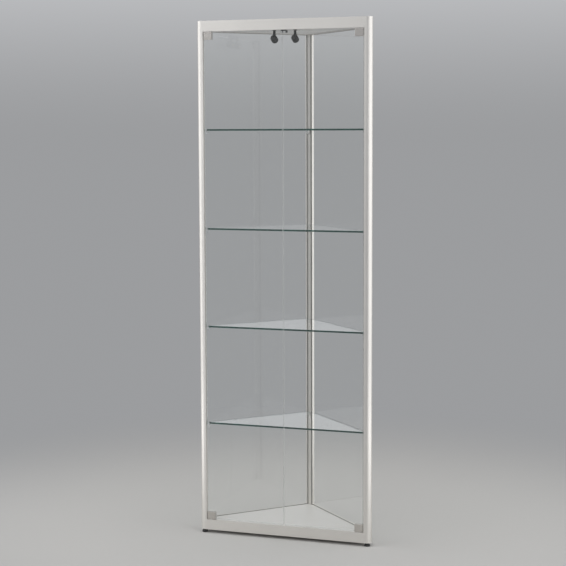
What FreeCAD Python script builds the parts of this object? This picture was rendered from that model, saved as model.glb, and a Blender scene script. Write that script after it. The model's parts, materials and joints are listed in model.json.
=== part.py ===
import FreeCAD, Part
import math
import os

# Glazed corner display cabinet: an aluminium frame with a right angle at the back, two
# side panes, two frameless doors on pivot hinges, glass shelves and two swivel spotlights.
# Lengths are millimetres. X runs to the right, Y to the back and Z up, and the origin is
# on the floor under the middle of the frame. Depth is counted back from the front face.

# Frame
overall_height = 1840.0
opening_width = 588.0
foot_height = 12.0
rail_height = 37.5
front_rail_depth = 20.0
side_profile_width = 25.0
post_flat_width = 6.5
post_nose_radius = 19.0
back_corner_radius = 3.0
port_diameter = 10.6
port_from_reveal = 11.0
port_from_front = 10.5
port_from_outside = 8.0
plug_length = 8.0

# Share of a length along either side that runs along X, and along Y
corner_share = math.sqrt(0.5)

# Side glass in its grooves
side_glass_thickness = 5.0
seal_thickness = 1.5
seal_lip = 0.8
groove_depth = 6.5
glass_edge_gap = 1.0
glass_arris = 0.5

# Panels on the ledges of the rails
panel_gap = 0.5
ledge_width = 5.0
ledge_thickness = 2.0
ledge_gap = 1.0
floor_thickness = 10.0
floor_rise = 1.5
ceiling_thickness = 10.0
cover_thickness = 3.0

# Keys that join the rails to the posts, and their grub screws
key_width = 12.0
key_height = 12.0
key_in_rail = 24.0
key_in_post = 5.0
key_rise = 16.0
key_front = 3.0
key_screw_diameter = 5.0
key_screw_length = 8.0
key_screw_inset = 12.0
socket_width = 2.5
socket_depth = 2.5

# Shelves and their clips
shelf_count = 4
top_compartment_height = 343.5
shelf_thickness = 6.0
shelf_front = 25.0
shelf_glass_gap = 2.4
shelf_post_gap = 10.0
shelf_back_gap = 6.0
clip_width = 7.0
clip_height = 13.0
clip_tip_height = 4.0
clip_root = 5.0
clip_reach = 18.0
back_clip_width = 11.0
peg_diameter = 4.5
peg_length = 4.5
peg_drop = 6.0
pad_thickness = 1.0
pad_margin = 0.7

# Doors and their pivot hinges
door_glass_thickness = 5.0
door_setback = 4.0
door_side_gap = 3.0
door_seam = 3.0
hinge_width = 30.0
hinge_height = 25.0
hinge_front_plate = 2.5
hinge_back_plate = 4.0
hinge_pad_thickness = 1.0
hinge_pad_margin = 1.0
hinge_web = 1.8
hinge_edge_gap = 0.3
hinge_play = 0.4
hinge_bevel = 1.0
pivot_inset = 12.0
pivot_pin_diameter = 5.0
pivot_pin_end_gap = 0.5
running_clearance = 0.05
bush_diameter = 10.0
bush_length = 6.5
bush_flange_diameter = 12.0
bush_flange_thickness = 1.0
clamp_screw_diameter = 4.0
clamp_screw_inset = 7.5
clamp_head_diameter = 7.0
clamp_head_height = 1.8
clamp_socket_depth = 1.2

# Push latch behind the meeting corner of the doors
latch_width = 18.0
latch_height = 8.5
latch_length = 25.0
latch_clearance = 3.0
latch_wall = 4.0
plunger_diameter = 3.6
plunger_offset = 4.6
plunger_rise = 3.4
plunger_length = 19.0
plunger_travel = 3.0
plunger_gap = 0.3
plunger_bore_diameter = 2.2
plunger_bore_depth = 9.0
spring_diameter = 2.0
spring_bore = 1.2
strike_width = 8.0
strike_height = 7.0
strike_thickness = 1.0
strike_edge_gap = 1.0

# Spotlights under the ceiling panel
spot_spread = 38.0
spot_depth = 32.0
spot_base_diameter = 13.0
spot_base_height = 3.0
spot_thread_diameter = 8.0
spot_thread_rise = 5.0
spot_wire_bore = 3.0
spot_nut_width = 13.0
spot_nut_height = 4.0
stem_diameter = 9.0
stem_spigot_diameter = 5.0
stem_spigot_length = 6.0
stem_gap = 0.3
stem_collar_rise = 4.5
spot_drop = 20.0
tongue_thickness = 4.0
tongue_width = 8.0
trunnion_diameter = 3.0
ear_gap = 0.3
ear_thickness = 3.0
head_radius = 12.0
head_below_pivot = 11.0
head_length = 13.0
head_slot_reach = 7.5
head_slot_depth = 4.8
lamp_recess_radius = 10.2
lamp_recess_depth = 4.5
led_thickness = 1.2
led_dome_radius = 3.5
led_dome_height = 0.9
lens_thickness = 2.0
bezel_depth = 2.0
bezel_opening_radius = 9.0
fin_width = 1.2
fin_depth = 0.8
fin_pitch = 3.0
fin_count = 3
spot_rest_tilt = 25.0

# Lamp supply in the roof
driver_width = 40.0
driver_length = 90.0
driver_height = 17.0
driver_corner = 2.0
driver_depth = 92.0
lead_diameter = 2.5
lead_spacing = 20.0
lead_straight = 20.0
lead_bend_radius = 8.0
gland_diameter = 12.0
gland_flange_diameter = 17.0
gland_flange_height = 2.0
gland_bore = 8.0
gland_from_corner = 49.0

# Levelling feet
foot_diameter = 20.0
foot_pad_height = 7.0
foot_pad_bevel = 1.0
foot_hex_width = 13.0
foot_gap = 0.3
foot_stem_diameter = 8.0
foot_bush_length = 14.0

# Distance by which a cutting solid runs past what it cuts
overrun = 2.0

# Places worked out from the sizes above
half_opening = opening_width / 2
nose_centre_x = half_opening + post_flat_width
side_outer = (nose_centre_x + post_nose_radius) * corner_share + post_nose_radius
side_inner = side_outer - side_profile_width
glass_line = side_outer - side_profile_width / 2
overall_depth = (side_outer - back_corner_radius) / corner_share + back_corner_radius
front_y = -overall_depth / 2
inner_corner_depth = side_inner / corner_share
reveal_depth = inner_corner_depth - half_opening
post_face = (reveal_depth - half_opening) * corner_share
groove_width = side_glass_thickness + 2 * seal_thickness
lip_width = (side_profile_width - groove_width) / 2

frame_bottom = foot_height
frame_middle = (frame_bottom + overall_height) / 2
bottom_rail_top = frame_bottom + rail_height
top_rail_bottom = overall_height - rail_height
floor_top = bottom_rail_top + floor_rise
floor_bottom = floor_top - floor_thickness
ceiling_bottom = top_rail_bottom + ledge_thickness
ceiling_top = ceiling_bottom + ceiling_thickness
shelf_pitch = (ceiling_bottom - floor_top - top_compartment_height) / shelf_count
cover_bottom = overall_height - cover_thickness
key_bottom = frame_bottom + key_rise

door_gap = bush_flange_thickness + hinge_play + hinge_web + hinge_edge_gap
door_bottom = bottom_rail_top + door_gap
door_top = top_rail_bottom - door_gap
door_edge = half_opening - door_side_gap
door_back = door_setback + door_glass_thickness
pivot_x = door_edge - pivot_inset
pivot_depth = door_setback + door_glass_thickness / 2

latch_front = door_back + strike_thickness + latch_clearance
latch_back = latch_front + latch_length
plunger_tip = door_back + strike_thickness + plunger_gap
plunger_end = plunger_tip + plunger_length
plunger_z = top_rail_bottom - latch_height + plunger_rise
spring_end = latch_back - latch_wall

x_axis = FreeCAD.Vector(1, 0, 0)
z_axis = FreeCAD.Vector(0, 0, 1)
origin = FreeCAD.Vector(0, 0, 0)


def at(x, depth, z):
    """Point at a depth behind the front face."""
    return FreeCAD.Vector(x, front_y + depth, z)


def on_side(out, along, z):
    """Point on the right side, by its distance square to the glass and along it to the back."""
    return at((out - along) * corner_share, (out + along) * corner_share, z)


def prism(points, height):
    """Upright solid on a closed outline."""
    return Part.Face(Part.makePolygon(points + points[:1])).extrude(z_axis * height)


def block(x0, x1, depth0, depth1, z0, z1):
    """Box square to the front."""
    corners = [(x0, depth0), (x1, depth0), (x1, depth1), (x0, depth1)]
    return prism([at(x, depth, z0) for x, depth in corners], z1 - z0)


def side_block(out0, out1, along0, along1, z0, z1):
    """Box square to the right side glass."""
    corners = [(out0, along0), (out1, along0), (out1, along1), (out0, along1)]
    return prism([on_side(out, along, z0) for out, along in corners], z1 - z0)


def corner_plate(side_limit, depth0, z0, z1):
    """Triangular plate between both sides, with its front edge at a depth."""
    reach = side_limit / corner_share
    outline = [(depth0 - reach, depth0), (reach - depth0, depth0), (0, reach)]
    return prism([at(x, depth, z0) for x, depth in outline], z1 - z0)


def rod(diameter, start, end):
    """Round bar between two points."""
    return Part.makeCylinder(diameter / 2, (end - start).Length, start, end - start)


def hexagon(width, centre, height):
    """Upright six-sided bar, by its width across flats."""
    radius = width / math.sqrt(3)
    corners = [math.radians(60 * i) for i in range(6)]
    points = [centre + FreeCAD.Vector(math.cos(a), math.sin(a), 0) * radius for a in corners]
    return prism(points, height)


def mirrored(shape):
    """Same shape on the left side."""
    return shape.mirror(origin, x_axis)


def flipped(shape):
    """Same shape at the other end of the frame, top for bottom."""
    return shape.mirror(z_axis * frame_middle, z_axis)


def both_sides(shapes):
    """Shapes of the right side followed by their left-hand copies."""
    return shapes + [mirrored(shape) for shape in shapes]


def both_ends(shapes):
    """Shapes of the bottom frame followed by their copies in the top frame."""
    return shapes + [flipped(shape) for shape in shapes]


def save(name, *shapes):
    """Write one node with all the solids of its shapes."""
    solids = [solid for shape in shapes for solid in shape.Solids]
    whole = solids[0] if len(solids) == 1 else Part.makeCompound(solids)
    whole.exportStep(f"parts/{name}.step")


def save_pair(name, *shapes):
    """Write a right-hand node and its left-hand copy; the name has a place for the side."""
    save(name.format("right"), *shapes)
    save(name.format("left"), *[mirrored(shape) for shape in shapes])


def frame_keys():
    """Keys at the lower right: front rail, side rail to front post, side rail to back post."""
    z0, z1 = key_bottom, key_bottom + key_height
    out0, out1 = glass_line - key_width / 2, glass_line + key_width / 2
    front = block(half_opening - key_in_rail, half_opening + key_in_post,
                  key_front, key_front + key_width, z0, z1)
    side_front = side_block(out0, out1, post_face - key_in_post, post_face + key_in_rail, z0, z1)
    side_back = side_block(out0, out1, side_inner - key_in_rail, side_inner + key_in_post, z0, z1)
    return both_ends(both_sides([front, side_front, side_back]))


def key_screw_places(z):
    """Points above each lower right grub screw."""
    return [
        at(half_opening - key_screw_inset, key_front + key_width / 2, z),
        on_side(glass_line, post_face + key_screw_inset, z),
        on_side(glass_line, side_inner - key_screw_inset, z),
    ]


def key_screw_holes():
    """Tapped holes from the hidden faces of the rails to the keys."""
    drop = z_axis * (key_rise + overrun)
    holes = [rod(key_screw_diameter, p - drop, p) for p in key_screw_places(key_bottom)]
    return both_ends(both_sides(holes))


def key_screws():
    """Socket grub screws that press on the keys."""
    screws = []
    for point in key_screw_places(key_bottom - key_screw_length):
        body = rod(key_screw_diameter, point, point + z_axis * key_screw_length)
        screws.append(body.cut(hexagon(socket_width, point, socket_depth)))
    return both_ends(both_sides(screws))


def front_post():
    """Right front post: flat front, round nose, end face square to the side glass."""
    z = frame_bottom
    inner = at(half_opening, 0, z)
    flat_end = at(nose_centre_x, 0, z)
    centre = at(nose_centre_x, post_nose_radius, z)
    nose_middle = FreeCAD.Vector(corner_share, corner_share - 1, 0).normalize()
    nose_end = FreeCAD.Vector(corner_share, corner_share, 0)
    arc_middle = centre + nose_middle * post_nose_radius
    arc_end = centre + nose_end * post_nose_radius
    outer = on_side(side_outer, post_face, z)
    reveal = at(half_opening, reveal_depth, z)
    edges = [
        Part.LineSegment(inner, flat_end).toShape(),
        Part.Arc(flat_end, arc_middle, arc_end).toShape(),
        Part.LineSegment(arc_end, outer).toShape(),
        Part.LineSegment(outer, reveal).toShape(),
        Part.LineSegment(reveal, inner).toShape(),
    ]
    blank = Part.Face(Part.Wire(edges)).extrude(z_axis * (overall_height - z))
    groove = side_block(glass_line - groove_width / 2, glass_line + groove_width / 2,
                        post_face - groove_depth, post_face + overrun,
                        z - overrun, overall_height + overrun)
    port = rod(port_diameter, front_port(z - overrun), front_port(overall_height + overrun))
    return blank.cut([groove, port])


def front_port(z):
    """Point on the axis of the right front post's port."""
    return at(half_opening + port_from_reveal, port_from_front, z)


def back_port(z):
    """Point on the axis of the back post's port."""
    return on_side(side_outer - port_from_outside, side_outer - port_from_outside, z)


def back_post_blank():
    """Square post in the room corner, its outer edge rounded."""
    z = frame_bottom
    centre = side_outer - back_corner_radius
    rounding = centre + back_corner_radius * corner_share
    arc = Part.Arc(on_side(side_outer, centre, z), on_side(rounding, rounding, z),
                   on_side(centre, side_outer, z))
    corners = [(centre, side_outer), (side_inner, side_outer), (side_inner, side_inner),
               (side_outer, side_inner), (side_outer, centre)]
    points = [on_side(out, along, z) for out, along in corners]
    sides = Part.makePolygon(points).Edges
    return Part.Face(Part.Wire([arc.toShape()] + sides)).extrude(z_axis * (overall_height - z))


def back_post():
    """Back post with a groove for each side pane and its port."""
    groove = side_block(glass_line - groove_width / 2, glass_line + groove_width / 2,
                        side_inner - overrun, side_inner + groove_depth,
                        frame_bottom - overrun, overall_height + overrun)
    port = rod(port_diameter, back_port(frame_bottom - overrun), back_port(overall_height + overrun))
    return back_post_blank().cut([groove, mirrored(groove), port])


def ledge_front(z):
    """Ledge behind a front rail, with its underside at z."""
    depth = front_rail_depth + ledge_width
    reach = (side_inner - ledge_width - ledge_gap) / corner_share - depth
    return block(-reach, reach, front_rail_depth, depth, z, z + ledge_thickness)


def ledge_side(z):
    """Ledge inside the right side rail, with its underside at z."""
    start = (front_rail_depth + ledge_gap) / corner_share - side_inner + ledge_width
    end = side_inner - ledge_width - ledge_gap
    return side_block(side_inner - ledge_width, side_inner, start, end, z, z + ledge_thickness)


def front_rail(z0, ledges):
    """Rail between the front posts, its back corners cut to the side rails."""
    blank = block(-half_opening, half_opening, 0, front_rail_depth, z0, z0 + rail_height)
    blank = blank.common(corner_plate(side_inner, 0, z0, z0 + rail_height))
    return blank.fuse([ledge_front(z) for z in ledges]).removeSplitter()


def side_rail(z0, groove_bottom, ledges):
    """Right side rail from the front post to the back post, grooved for the glass."""
    blank = side_block(side_inner, side_outer, post_face, side_inner, z0, z0 + rail_height)
    blank = blank.fuse([ledge_side(z) for z in ledges]).removeSplitter()
    groove = side_block(glass_line - groove_width / 2, glass_line + groove_width / 2,
                        post_face - overrun, side_inner + overrun,
                        groove_bottom, groove_bottom + groove_depth)
    return blank.cut(groove)


def key_channels():
    """Channels of the lower rails, as long as the rails, that take the keys."""
    z0, z1 = key_bottom, key_bottom + key_height
    front = block(-half_opening - overrun, half_opening + overrun,
                  key_front, key_front + key_width, z0, z1)
    side = side_block(glass_line - key_width / 2, glass_line + key_width / 2,
                      post_face - overrun, side_inner + overrun, z0, z1)
    return both_ends([front] + both_sides([side]))


def bush_place(z):
    """Point on the right door's pivot axis."""
    return at(pivot_x, pivot_depth, z)


def door_bushes():
    """Flanged bushes in both front rails; the barrel is in the rail, the flange outside."""
    rail = bush_place(top_rail_bottom)
    barrel = rod(bush_diameter, rail, rail + z_axis * bush_length)
    flange = rod(bush_flange_diameter, rail - z_axis * bush_flange_thickness, rail)
    bore_diameter = pivot_pin_diameter + 2 * running_clearance
    bore = rod(bore_diameter, rail - z_axis * (bush_flange_thickness + overrun),
               rail + z_axis * (bush_length + overrun))
    return both_ends(both_sides([barrel.fuse(flange).cut(bore)]))


def bush_holes():
    """Holes in the front rails that take the bush barrels."""
    rail = bush_place(top_rail_bottom)
    hole = rod(bush_diameter, rail - z_axis * overrun, rail + z_axis * bush_length)
    return both_ends(both_sides([hole]))


def side_pane():
    """Right side pane, standing in the grooves of two posts and two rails."""
    hold = groove_depth - glass_edge_gap
    pane = side_block(glass_line - side_glass_thickness / 2, glass_line + side_glass_thickness / 2,
                      post_face - hold, side_inner + hold,
                      bottom_rail_top - hold, top_rail_bottom + hold)
    return pane


def glass_seal(pane):
    """Channel seal that fills the grooves round the right side pane."""
    out0, out1 = glass_line - groove_width / 2, glass_line + groove_width / 2
    outside = side_block(out0, out1, post_face - groove_depth, side_inner + groove_depth,
                         bottom_rail_top - groove_depth, top_rail_bottom + groove_depth)
    window = side_block(out0 - overrun, out1 + overrun, post_face + seal_lip, side_inner - seal_lip,
                        bottom_rail_top + seal_lip, top_rail_bottom - seal_lip)
    return outside.cut([window, pane])


def panel(z0, thickness):
    """Triangular panel that lies on the ledges."""
    return corner_plate(side_inner - panel_gap, front_rail_depth + panel_gap, z0, z0 + thickness)


def shelf_bottoms():
    """Undersides of the shelves, lowest first."""
    return [floor_top + shelf_pitch * (i + 1) - shelf_thickness for i in range(shelf_count)]


def glass_shelf(z):
    """Shelf with its front tips cut square to the sides and its back corner cut off."""
    side_limit = glass_line - side_glass_thickness / 2 - shelf_glass_gap
    plate = corner_plate(side_limit, shelf_front, z, z + shelf_thickness)
    tip = side_block(0, side_outer, post_face - side_profile_width, post_face + shelf_post_gap,
                     z - overrun, z + shelf_thickness + overrun)
    back = block(-half_opening, half_opening, inner_corner_depth - shelf_back_gap,
                 inner_corner_depth + side_profile_width, z - overrun, z + shelf_thickness + overrun)
    plate = plate.cut([tip, mirrored(tip), back])
    return plate.makeChamfer(glass_arris, plate.Edges)


def clip_outline(top):
    """Distances from the post and heights of a clip's wedge-shaped side."""
    low = top - clip_height
    return [(0, low), (clip_root, low), (clip_reach, top - clip_tip_height), (clip_reach, top), (0, top)]


def front_clip(shelf_bottom):
    """Clip on the inner lip of the right front post, with a peg into the post."""
    top = shelf_bottom - pad_thickness
    middle = side_inner + lip_width / 2
    points = [on_side(middle - clip_width / 2, post_face + run, z) for run, z in clip_outline(top)]
    across = on_side(clip_width, 0, 0) - on_side(0, 0, 0)
    wedge = Part.Face(Part.makePolygon(points + points[:1])).extrude(across)
    peg_z = top - peg_drop
    peg = rod(peg_diameter, on_side(middle, post_face, peg_z),
              on_side(middle, post_face - peg_length, peg_z))
    return wedge.fuse(peg)


def front_pad(shelf_bottom):
    """Pad between the right front clip and the shelf."""
    middle = side_inner + lip_width / 2
    half = clip_width / 2 - pad_margin
    return side_block(middle - half, middle + half, post_face + shelf_post_gap + pad_margin,
                      post_face + clip_reach - pad_margin, shelf_bottom - pad_thickness, shelf_bottom)


def back_clip(shelf_bottom, post):
    """Clip whose notch sits on the inner edge of the back post, with a peg into the post."""
    top = shelf_bottom - pad_thickness
    half = back_clip_width / 2
    points = [at(-half, inner_corner_depth - run, z) for run, z in clip_outline(top)]
    wedge = Part.Face(Part.makePolygon(points + points[:1])).extrude(x_axis * back_clip_width)
    heel = block(-half, half, inner_corner_depth, inner_corner_depth + half, top - clip_height, top)
    peg_z = top - peg_drop
    peg = rod(peg_diameter, at(0, inner_corner_depth, peg_z),
              at(0, inner_corner_depth + peg_length, peg_z))
    return wedge.fuse(heel).removeSplitter().cut(post).fuse(peg)


def back_pad(shelf_bottom):
    """Pad between the back clip and the shelf."""
    half = back_clip_width / 2 - pad_margin
    return block(-half, half, inner_corner_depth - clip_reach + pad_margin,
                 inner_corner_depth - shelf_back_gap - pad_margin,
                 shelf_bottom - pad_thickness, shelf_bottom)


def door_pane():
    """Right door glass with ground edges."""
    pane = block(door_seam / 2, door_edge, door_setback, door_back, door_bottom, door_top)
    return pane.makeChamfer(glass_arris, pane.Edges)


def hinge_screw_places(depth):
    """Points on the axes of the two clamp screws of the upper right hinge."""
    z = door_top - hinge_height / 2
    inner = door_edge - hinge_width + clamp_screw_inset
    return [at(inner, depth, z), at(door_edge - clamp_screw_inset, depth, z)]


def hinge_body():
    """Upper right hinge: two plates round the corner of the glass, joined over its edge."""
    x0, x1 = door_edge - hinge_width, door_edge
    front = door_setback - hinge_pad_thickness - hinge_front_plate
    slot_front = door_setback - hinge_pad_thickness
    slot_back = door_back + hinge_pad_thickness
    back = slot_back + hinge_back_plate
    web_bottom = door_top + hinge_edge_gap
    low = door_top - hinge_height
    body = block(x0, x1, front, back, low, web_bottom + hinge_web)
    front_edges = [e for e in body.Edges if all(v.Y < front_y + slot_front for v in e.Vertexes)]
    body = body.makeChamfer(hinge_bevel, front_edges)
    slot = block(x0 - overrun, x1 + overrun, slot_front, slot_back, low - overrun, web_bottom)
    pin_hole = rod(pivot_pin_diameter, bush_place(web_bottom - overrun),
                   bush_place(web_bottom + hinge_web + overrun))
    holes = [rod(clamp_screw_diameter, p, q) for p, q in
             zip(hinge_screw_places(slot_back - overrun), hinge_screw_places(back + overrun))]
    return body.cut([slot, pin_hole] + holes)


def pivot_pin():
    """Upper right pivot pin, pressed into the hinge's web and turning in the bush."""
    start = bush_place(door_top + hinge_edge_gap)
    end = bush_place(top_rail_bottom + bush_length - pivot_pin_end_gap)
    return rod(pivot_pin_diameter, start, end)


def hinge_pads():
    """Pads on both faces of the glass inside the upper right hinge."""
    x0 = door_edge - hinge_width + hinge_pad_margin
    x1 = door_edge - hinge_pad_margin
    z0 = door_top - hinge_height + hinge_pad_margin
    z1 = door_top - hinge_pad_margin
    front = block(x0, x1, door_setback - hinge_pad_thickness, door_setback, z0, z1)
    back = block(x0, x1, door_back, door_back + hinge_pad_thickness, z0, z1)
    return [front, back]


def clamp_screws():
    """Socket screws that press the inner pad of the upper right hinge on the glass."""
    tip = door_back + hinge_pad_thickness
    seat = tip + hinge_back_plate
    head = seat + clamp_head_height
    screws = []
    for start, under, end in zip(hinge_screw_places(tip), hinge_screw_places(seat), hinge_screw_places(head)):
        socket = rod(socket_width, end - (end - start).normalize() * clamp_socket_depth, end)
        body = rod(clamp_screw_diameter, start, under).fuse(rod(clamp_head_diameter, under, end))
        screws.append(body.cut(socket))
    return screws


def strike_plate():
    """Steel plate on the right door that the latch holds."""
    x0 = door_seam / 2 + strike_edge_gap
    return block(x0, x0 + strike_width, door_back, door_back + strike_thickness,
                 door_top - strike_height, door_top)


def latch_point(depth):
    """Point on the right plunger's axis."""
    return at(plunger_offset, depth, plunger_z)


def latch_body():
    """Housing under the top rail with a blind bore for each plunger."""
    housing = block(-latch_width / 2, latch_width / 2, latch_front, latch_back,
                    top_rail_bottom - latch_height, top_rail_bottom)
    bore_diameter = plunger_diameter + 2 * running_clearance
    bore = rod(bore_diameter, latch_point(latch_front - overrun), latch_point(spring_end))
    return housing.cut([bore, mirrored(bore)])


def latch_plunger():
    """Right plunger, hollow behind for its spring."""
    body = rod(plunger_diameter, latch_point(plunger_tip), latch_point(plunger_end))
    hollow = rod(plunger_bore_diameter, latch_point(plunger_end - plunger_bore_depth),
                 latch_point(plunger_end + overrun))
    return body.cut(hollow)


def latch_spring():
    """Right spring at its pressed length, seated on the end of the bore."""
    start = latch_point(plunger_end - plunger_bore_depth + plunger_travel + plunger_gap)
    end = latch_point(spring_end)
    return rod(spring_diameter, start, end).cut(rod(spring_bore, start, end))


def spot_point(x, depth, z):
    """Point by its distance from the right spotlight's pivot."""
    return at(spot_spread + x, spot_depth + depth, ceiling_bottom - spot_drop + z)


def spot_axis(z):
    """Point on the axis about which the right spotlight turns."""
    return at(spot_spread, spot_depth, z)


def spot_base():
    """Disc under the ceiling panel with a hollow threaded neck through it."""
    bottom = ceiling_bottom - spot_base_height
    top = ceiling_top + spot_thread_rise
    disc = rod(spot_base_diameter, spot_axis(bottom), spot_axis(ceiling_bottom))
    neck = rod(spot_thread_diameter, spot_axis(ceiling_bottom), spot_axis(top))
    wire_bore = rod(spot_wire_bore, spot_axis(bottom - overrun), spot_axis(top + overrun))
    spigot_bore = rod(stem_spigot_diameter + 2 * running_clearance, spot_axis(bottom - overrun),
                      spot_axis(bottom + stem_spigot_length))
    return disc.fuse(neck).cut([wire_bore, spigot_bore])


def spot_nut():
    """Nut that holds the right base on the ceiling panel."""
    nut = hexagon(spot_nut_width, spot_axis(ceiling_top), spot_nut_height)
    return nut.cut(rod(spot_thread_diameter, spot_axis(ceiling_top - overrun),
                       spot_axis(ceiling_top + spot_nut_height + overrun)))


def spot_stem():
    """Stem with a spigot in the base, a collar and a tongue with two trunnions."""
    base_bottom = ceiling_bottom - spot_base_height
    collar_top = base_bottom - stem_gap
    collar_bottom = ceiling_bottom - spot_drop + stem_collar_rise
    spigot_top = base_bottom + stem_spigot_length - stem_gap
    spigot = rod(stem_spigot_diameter, spot_axis(collar_top), spot_axis(spigot_top))
    collar = rod(stem_diameter, spot_axis(collar_bottom), spot_axis(collar_top))
    half = tongue_thickness / 2
    tongue_end = rod(tongue_width, spot_point(-half, 0, 0), spot_point(half, 0, 0))
    pivot_z = ceiling_bottom - spot_drop
    blade = block(spot_spread - half, spot_spread + half, spot_depth - tongue_width / 2,
                  spot_depth + tongue_width / 2, pivot_z, collar_bottom)
    trunnion_reach = half + ear_gap + ear_thickness
    trunnions = rod(trunnion_diameter, spot_point(-trunnion_reach, 0, 0), spot_point(trunnion_reach, 0, 0))
    return spigot.fuse([collar, tongue_end, blade, trunnions]).removeSplitter()


def tilted(shape):
    """Lamp head piece turned nose down to its rest position."""
    turned = shape.copy()
    turned.rotate(spot_point(0, 0, 0), x_axis, -spot_rest_tilt)
    return turned


def head_disc(radius, start, end):
    """Round slice of the lamp head between two distances in front of the pivot."""
    return rod(2 * radius, spot_point(0, start, -head_below_pivot), spot_point(0, end, -head_below_pivot))


def spot_housing():
    """Lamp housing: round back, ribbed barrel, lamp recess and two ears on the trunnions."""
    dome = Part.makeSphere(head_radius, spot_point(0, 0, -head_below_pivot))
    barrel = head_disc(head_radius, 0, head_length)
    front = block(spot_spread - 2 * head_radius, spot_spread + 2 * head_radius, spot_depth,
                  spot_depth + 2 * head_radius, ceiling_bottom - spot_drop - 2 * head_radius - overrun,
                  ceiling_bottom)
    body = dome.cut(front).fuse(barrel).removeSplitter()
    fins = []
    for i in range(fin_count):
        start = head_length - lamp_recess_depth - fin_pitch * i - fin_width
        fins.append(head_disc(head_radius + overrun, start, start + fin_width)
                    .cut(head_disc(head_radius - fin_depth, start, start + fin_width)))
    recess = head_disc(lamp_recess_radius, head_length - lamp_recess_depth, head_length + overrun)
    inside = tongue_thickness / 2 + ear_gap
    slot = block(spot_spread - inside, spot_spread + inside, spot_depth - head_slot_reach,
                 spot_depth + head_slot_reach, ceiling_bottom - spot_drop - head_slot_depth, ceiling_bottom)
    outside = inside + ear_thickness
    ear_plate = block(spot_spread + inside, spot_spread + outside, spot_depth - tongue_width / 2,
                      spot_depth + tongue_width / 2, ceiling_bottom - spot_drop - head_below_pivot,
                      ceiling_bottom - spot_drop)
    ear_top = rod(tongue_width, spot_point(inside, 0, 0), spot_point(outside, 0, 0))
    ear = ear_plate.fuse(ear_top)
    swing = x_axis * (2 * inside + ear_thickness)
    other_ear = ear.copy()
    other_ear.translate(-swing)
    hole_reach = outside + overrun
    hole = rod(trunnion_diameter + 2 * running_clearance, spot_point(-hole_reach, 0, 0),
               spot_point(hole_reach, 0, 0))
    body = body.cut(fins).cut([recess, slot])
    return tilted(body.fuse([ear, other_ear]).removeSplitter().cut(hole))


def spot_led():
    """Light-emitting board on the floor of the lamp recess, with its dome."""
    start = head_length - lamp_recess_depth
    board = head_disc(lamp_recess_radius, start, start + led_thickness)
    dome = head_disc(led_dome_radius, start + led_thickness, start + led_thickness + led_dome_height)
    return tilted(board.fuse(dome))


def spot_lens():
    """Lens, flush with the front of the housing."""
    return tilted(head_disc(lamp_recess_radius, head_length - lens_thickness, head_length))


def spot_bezel():
    """Ring in front of the lens."""
    ring = head_disc(head_radius, head_length, head_length + bezel_depth)
    return tilted(ring.cut(head_disc(bezel_opening_radius, head_length - overrun,
                                     head_length + bezel_depth + overrun)))


def lamp_driver():
    """Supply box on the ceiling panel."""
    box = block(-driver_width / 2, driver_width / 2, driver_depth, driver_depth + driver_length,
                ceiling_top, ceiling_top + driver_height)
    upper = [e for e in box.Edges if max(v.Z for v in e.Vertexes) > ceiling_top]
    return box.makeFillet(driver_corner, upper)


def rounded_path(points, radius):
    """Straight runs through points, joined by tangent arcs."""
    edges = []
    start = points[0]
    for before, corner, after in zip(points, points[1:], points[2:]):
        towards = (before - corner).normalize()
        onwards = (after - corner).normalize()
        half_turn = (math.pi - towards.getAngle(onwards)) / 2
        tangent = radius * math.tan(half_turn)
        bisector = (towards + onwards).normalize()
        middle = corner + bisector * (radius / math.cos(half_turn) - radius)
        if (corner + towards * tangent - start).Length > running_clearance:
            edges.append(Part.LineSegment(start, corner + towards * tangent).toShape())
        edges.append(Part.Arc(corner + towards * tangent, middle, corner + onwards * tangent).toShape())
        start = corner + onwards * tangent
    if (points[-1] - start).Length > running_clearance:
        edges.append(Part.LineSegment(start, points[-1]).toShape())
    return Part.Wire(edges)


def lamp_lead():
    """Lead from the supply box over the ceiling panel into the right spotlight's neck."""
    neck_top = ceiling_top + spot_thread_rise
    z = neck_top + lead_bend_radius
    x = lead_spacing / 2
    route = [at(x, driver_depth, z), at(x, driver_depth - lead_straight, z), spot_axis(z), spot_axis(neck_top)]
    path = rounded_path(route, lead_bend_radius)
    section = Part.Wire(Part.makeCircle(lead_diameter / 2, route[0], route[1] - route[0]))
    lead = path.makePipeShell([section], True, False)
    expected = math.pi * lead_diameter ** 2 / 4 * path.Length
    print("lead: bend radius", lead_bend_radius, "volume over section times length",
          round(lead.Volume / expected, 4))
    return lead


def gland_point(z):
    """Point on the axis of the cable gland, in front of the inner back corner."""
    return at(0, inner_corner_depth - gland_from_corner, z)


def cable_gland():
    """Bush in the top cover where a supply lead comes in."""
    low = gland_point(cover_bottom - gland_flange_height)
    seat = gland_point(cover_bottom)
    top = gland_point(overall_height)
    body = rod(gland_flange_diameter, low, seat).fuse(rod(gland_diameter, seat, top))
    return body.cut(rod(gland_bore, low, top))


def foot(port):
    """Levelling foot: round pad, six-sided neck and stem, on a post's port."""
    pad = rod(foot_diameter, port(0), port(foot_pad_height))
    rims = [e for e in pad.Edges if e.Closed]
    pad = pad.makeChamfer(foot_pad_bevel, rims)
    neck_top = frame_bottom - foot_gap
    neck = hexagon(foot_hex_width, port(foot_pad_height), neck_top - foot_pad_height)
    stem = rod(foot_stem_diameter, port(neck_top), port(frame_bottom + foot_bush_length))
    return pad.fuse([neck, stem])


def foot_bush(port):
    """Threaded plug in the lower end of a post's port."""
    low, high = port(frame_bottom), port(frame_bottom + foot_bush_length)
    bore_diameter = foot_stem_diameter + 2 * running_clearance
    return rod(port_diameter, low, high).cut(rod(bore_diameter, low, high))


def post_plug(port):
    """Plug in the upper end of a post's port."""
    return rod(port_diameter, port(overall_height - plug_length), port(overall_height))


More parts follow.
